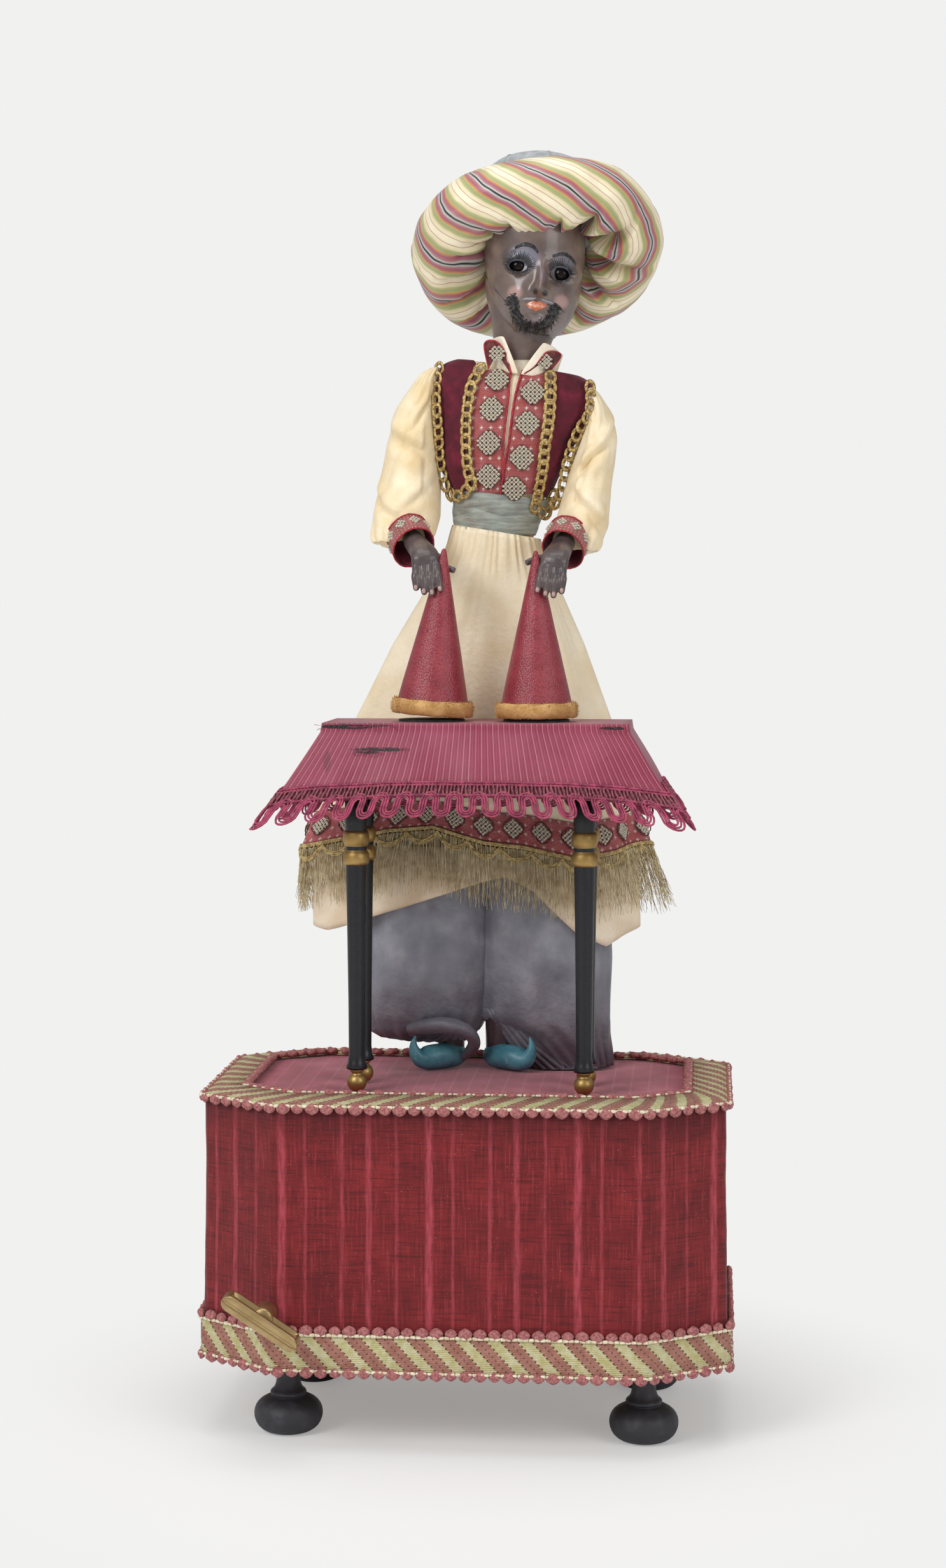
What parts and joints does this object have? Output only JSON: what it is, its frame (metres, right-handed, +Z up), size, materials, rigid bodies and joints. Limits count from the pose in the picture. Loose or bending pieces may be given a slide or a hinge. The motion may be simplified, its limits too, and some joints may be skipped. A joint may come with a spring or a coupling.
{
  "type": "automaton doll",
  "caption": "Turbaned conjuror doll on a velvet-covered base behind a small clothed table, its arms lift two leather cones, its head turns and nods.",
  "frame": {"origin": "on the floor under the middle of the whole object's box", "axes": "+X to the viewer's right, +Y to the back, +Z up"},
  "size_m": [0.3366, 0.2514, 0.8383],
  "materials": {
    "case_wood": "bare softwood, unfinished",
    "black_wood": "ebonised, satin polish",
    "bun_black": "black matt stain",
    "key_brass": "old unpolished brass",
    "plate_brass": "lacquered clock brass",
    "steel": "drawn steel wire and arbors",
    "base_velvet": "worn crimson striped velvet",
    "top_velvet": "faded rose velvet",
    "galloon": "woven pink and pale green diagonal stripes",
    "table_silk": "raspberry silk with fine pale stripes",
    "silk_braid": "looped three-cord braid",
    "red_leather": "red pebbled leather",
    "gold_plush": "golden plush",
    "cream_satin": "cream silk satin",
    "grey_satin": "grey-blue satin",
    "sash_silk": "grey-green silk",
    "vest_velvet": "burgundy velvet edged with gilt chain braid",
    "brocade": "rose brocade with silver medallions",
    "gilt_fringe": "metal-thread fringe",
    "painted_skin": "gloss oil paint on papier-mache",
    "body_core": "carved body",
    "eye_glass": "black glass",
    "turban_silk": "striped silk",
    "grey_cloth": "grey cotton"
  },
  "bodies": {
    "root": {"base_floor_board": "case_wood", "base_case": "case_wood", "base_top_board": "case_wood", "base_velvet": "base_velvet", "top_velvet": "top_velvet", "lower_galloon": "galloon", "top_galloon": "galloon", "bun_foot_front_left": "bun_black", "bun_foot_front_right": "bun_black", "bun_foot_back_left": "bun_black", "bun_foot_back_right": "bun_black", "movement_front_plate": "plate_brass", "movement_back_plate": "plate_brass", "lever_pivot": "steel", "table_box": "black_wood", "tablecloth": "table_silk", "cloth_braid": "silk_braid", "table_leg_front_left": "black_wood", "table_leg_front_right": "black_wood", "table_leg_back_left": "black_wood", "table_leg_back_right": "black_wood", "leg_left": "painted_skin", "leg_right": "painted_skin", "trouser_left": "grey_satin", "trouser_right": "grey_satin", "robe_skirt": "cream_satin", "underskirt": "cream_satin", "hem_fringe": "gilt_fringe", "torso": "body_core", "shoulder_axle": "steel", "vest": "vest_velvet", "plastron": "brocade", "sash": "sash_silk", "collar": "cream_satin"},
    "winder": {"winding_key": "key_brass", "winding_arbor": "steel"},
    "click": {"click": "steel"},
    "spring_barrel": {"spring_barrel": "plate_brass"},
    "camshaft": {"camshaft": "plate_brass"},
    "fly_governor": {"fly_governor": "plate_brass"},
    "lever_left_arm": {"lever_left_arm": "plate_brass"},
    "lever_right_arm": {"lever_right_arm": "plate_brass"},
    "lever_head": {"lever_head": "plate_brass"},
    "rod_left_arm": {"rod_left_arm": "steel"},
    "rod_right_arm": {"rod_right_arm": "steel"},
    "rod_head": {"rod_head": "steel"},
    "neck": {"neck_yoke": "plate_brass"},
    "head": {"head": "painted_skin", "eye_left": "eye_glass", "eye_right": "eye_glass", "turban_ring": "turban_silk", "turban_crown": "grey_cloth"},
    "left_arm": {"sleeve_left": "cream_satin", "hand_left": "painted_skin", "cone_left": "red_leather", "cone_plush_left": "gold_plush"},
    "right_arm": {"sleeve_right": "cream_satin", "hand_right": "painted_skin", "cone_right": "red_leather", "cone_plush_right": "gold_plush"}
  },
  "joints": [
    {"name": "winding", "type": "hinge", "parent": "root", "child": "winder", "pos_m": [-0.119, 0.01133, 0.09], "axis": [0, 1, 0], "continuous": true},
    {"name": "click_pivot", "type": "hinge", "parent": "root", "child": "click", "pos_m": [-0.099, 0.01133, 0.069], "axis": [0, 1, 0], "range_deg": [0, 12]},
    {"name": "barrel_run", "type": "hinge", "parent": "root", "child": "spring_barrel", "pos_m": [-0.119, 0.01133, 0.09], "axis": [0, 1, 0], "continuous": true},
    {"name": "camshaft_run", "type": "hinge", "parent": "root", "child": "camshaft", "pos_m": [-0.071, 0.01133, 0.09], "axis": [0, 1, 0], "continuous": true},
    {"name": "fly_run", "type": "hinge", "parent": "root", "child": "fly_governor", "pos_m": [-0.0326, 0.01133, 0.09], "axis": [0, 1, 0], "continuous": true},
    {"name": "left_shoulder", "type": "hinge", "parent": "root", "child": "left_arm", "pos_m": [-0.0235, 0.05133, 0.662], "axis": [-1, 0, 0], "range_deg": [0, 25]},
    {"name": "right_shoulder", "type": "hinge", "parent": "root", "child": "right_arm", "pos_m": [0.072, 0.05133, 0.662], "axis": [-1, 0, 0], "range_deg": [0, 25]},
    {"name": "head_turn", "type": "hinge", "parent": "root", "child": "neck", "pos_m": [0.02955, 0.05133, 0.697], "axis": [0, 0, 1], "range_deg": [-20, 20]},
    {"name": "head_nod", "type": "hinge", "parent": "neck", "child": "head", "pos_m": [0.02955, 0.05133, 0.697], "axis": [1, 0, 0], "range_deg": [-6, 6]},
    {"name": "lever_left_arm_rock", "type": "hinge", "parent": "root", "child": "lever_left_arm", "pos_m": [0.07, 0.01133, 0.123], "axis": [0, -1, 0], "range_deg": [0, 4.1]},
    {"name": "rod_left_arm_slide", "type": "slide", "parent": "root", "child": "rod_left_arm", "axis": [0, 0, -1], "range_m": [0, 0.004]},
    {"name": "lever_right_arm_rock", "type": "hinge", "parent": "root", "child": "lever_right_arm", "pos_m": [0.07, 0.01133, 0.123], "axis": [0, -1, 0], "range_deg": [0, 4.1]},
    {"name": "rod_right_arm_slide", "type": "slide", "parent": "root", "child": "rod_right_arm", "axis": [0, 0, -1], "range_m": [0, 0.004]},
    {"name": "lever_head_rock", "type": "hinge", "parent": "root", "child": "lever_head", "pos_m": [0.07, 0.01133, 0.123], "axis": [0, -1, 0], "range_deg": [-4.1, 4.1]},
    {"name": "rod_head_slide", "type": "slide", "parent": "root", "child": "rod_head", "axis": [0, 0, -1], "range_m": [-0.004, 0.004]}
  ],
  "couplings": [
    {"joint": "camshaft_run", "follows": "barrel_run", "ratio": -1.5},
    {"joint": "fly_run", "follows": "barrel_run", "ratio": 4.5},
    {"joint": "lever_left_arm_rock", "follows": "left_shoulder", "ratio": 0.164},
    {"joint": "rod_left_arm_slide", "follows": "left_shoulder", "m_per_rad": 0.0091673},
    {"joint": "lever_right_arm_rock", "follows": "right_shoulder", "ratio": 0.164},
    {"joint": "rod_right_arm_slide", "follows": "right_shoulder", "m_per_rad": 0.0091673},
    {"joint": "lever_head_rock", "follows": "head_turn", "ratio": 0.205},
    {"joint": "rod_head_slide", "follows": "head_turn", "m_per_rad": 0.011459}
  ]
}
